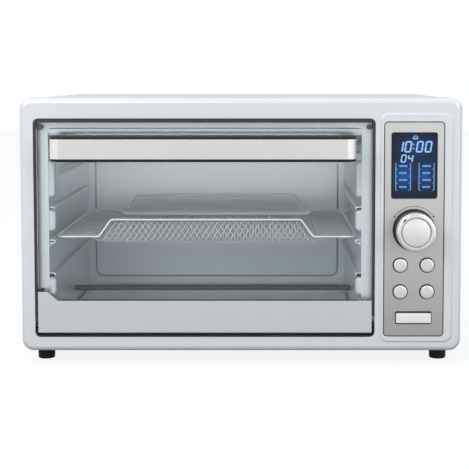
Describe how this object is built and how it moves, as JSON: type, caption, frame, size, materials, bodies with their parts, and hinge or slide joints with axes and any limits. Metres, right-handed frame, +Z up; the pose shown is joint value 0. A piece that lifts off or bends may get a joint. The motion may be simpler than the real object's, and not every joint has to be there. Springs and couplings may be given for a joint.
{
  "type": "air fryer oven",
  "caption": "Countertop air fryer oven with a drop-down glass door, bar handle, rail-guided mesh basket, display, turning knob and push buttons on a pale steel casing.",
  "frame": {"origin": "on the worktop under the middle of the object's overall length and depth, feet included", "axes": "+X to the right seen from the front, +Y from the door towards the back, +Z up"},
  "size_m": [0.5, 0.398, 0.304],
  "materials": {
    "body_paint": "pale warm silver satin paint",
    "plated_sheet": "dull zinc plated sheet",
    "cavity_steel": "bright aluminised sheet",
    "heater_sheath": "dark oxidised sheath",
    "ceramic": "off-white ceramic",
    "bright_steel": "bright plated steel",
    "fan_sheet": "plain rolled sheet",
    "motor_steel": "laminated core and bracket",
    "control_steel": "fine vertical brushing",
    "knob_metal": "polished plating",
    "start_white": "smooth white",
    "display_black": "smoked display cover",
    "door_glass": "clear toughened glass",
    "handle_steel": "satin steel strip",
    "black_mould": "black moulding",
    "bumper_rubber": "matt silicone",
    "circuit_board": "green laminate",
    "basket_wire": "bright wire",
    "basket_mesh": "expanded steel mesh"
  },
  "bodies": {
    "casing": {"front_frame": "body_paint", "outer_cover": "body_paint", "rear_cover": "body_paint", "base_plate": "plated_sheet", "feet": "black_mould", "foot_screws": "bright_steel", "cover_screws": "bright_steel", "front_flange": "plated_sheet", "cavity_left_wall": "cavity_steel", "cavity_right_wall": "cavity_steel", "cavity_back_wall": "cavity_steel", "cavity_roof": "cavity_steel", "cavity_floor": "cavity_steel", "crumb_tray": "cavity_steel", "upper_heaters": "heater_sheath", "lower_heaters": "heater_sheath", "heater_bushes": "ceramic", "heat_shield": "plated_sheet", "fan_motor": "motor_steel", "temperature_probe": "bright_steel", "control_plate": "control_steel", "display_window": "display_black", "display_module": "black_mould", "knob_ring": "knob_metal", "encoder_body": "black_mould", "control_board": "circuit_board", "board_posts": "black_mould", "push_switches": "black_mould", "power_board": "circuit_board", "board_standoffs": "black_mould", "terminal_block": "black_mould", "cord_gland": "black_mould", "hinge_brackets": "plated_sheet", "door_bumpers": "bumper_rubber"},
    "door": {"door_glass": "door_glass", "door_panel": "body_paint", "hinge_lugs": "plated_sheet", "hinge_pins": "bright_steel", "handle_core": "black_mould", "handle_bar": "handle_steel", "handle_screws": "bright_steel", "arm_bracket": "plated_sheet", "arm_rivet": "bright_steel"},
    "arm": {"door_arm": "plated_sheet"},
    "knob": {"knob": "knob_metal", "knob_cap": "knob_metal", "encoder_shaft": "bright_steel"},
    "fan": {"fan_blade": "fan_sheet", "fan_shaft": "bright_steel"},
    "basket": {"basket_rim": "basket_wire", "basket_mesh": "basket_mesh"},
    "upper_left_key": {"button_upper_left": "knob_metal"},
    "upper_right_key": {"button_upper_right": "knob_metal"},
    "lower_left_key": {"button_lower_left": "knob_metal"},
    "lower_right_key": {"button_lower_right": "knob_metal"},
    "start_key": {"start_button": "start_white"}
  },
  "joints": [
    {"name": "door_hinge", "type": "hinge", "parent": "casing", "child": "door", "pos_m": [-0.04135, -0.1565, 0.0436], "axis": [1, 0, 0], "range_deg": [0, 88], "stiffness_Nm_per_rad": 0.4, "springref_deg": -40.11},
    {"name": "arm_pivot", "type": "hinge", "parent": "door", "child": "arm", "pos_m": [-0.2293, -0.1525, 0.074], "axis": [1, 0, 0], "range_deg": [-62, 0]},
    {"name": "basket_slide", "type": "slide", "parent": "casing", "child": "basket", "axis": [0, -1, 0], "range_m": [0, 0.139]},
    {"name": "knob_turn", "type": "hinge", "parent": "casing", "child": "knob", "pos_m": [0.1955, -0.1654, 0.15459], "axis": [0, -1, 0], "continuous": true},
    {"name": "fan_spin", "type": "hinge", "parent": "casing", "child": "fan", "pos_m": [0.14225, 0.062, 0.15579], "axis": [1, 0, 0], "continuous": true},
    {"name": "upper_left_press", "type": "slide", "parent": "casing", "child": "upper_left_key", "axis": [0, 1, 0], "range_m": [0, 0.0011], "stiffness_N_per_m": 1200, "springref_m": -0.0004},
    {"name": "upper_right_press", "type": "slide", "parent": "casing", "child": "upper_right_key", "axis": [0, 1, 0], "range_m": [0, 0.0011], "stiffness_N_per_m": 1200, "springref_m": -0.0004},
    {"name": "lower_left_press", "type": "slide", "parent": "casing", "child": "lower_left_key", "axis": [0, 1, 0], "range_m": [0, 0.0011], "stiffness_N_per_m": 1200, "springref_m": -0.0004},
    {"name": "lower_right_press", "type": "slide", "parent": "casing", "child": "lower_right_key", "axis": [0, 1, 0], "range_m": [0, 0.0011], "stiffness_N_per_m": 1200, "springref_m": -0.0004},
    {"name": "start_press", "type": "slide", "parent": "casing", "child": "start_key", "axis": [0, 1, 0], "range_m": [0, 0.0011], "stiffness_N_per_m": 1200, "springref_m": -0.0004}
  ],
  "couplings": [
    {"joint": "arm_pivot", "follows": "door_hinge", "ratio": -0.7},
    {"joint": "basket_slide", "follows": "door_hinge", "m_per_rad": 0.09}
  ]
}
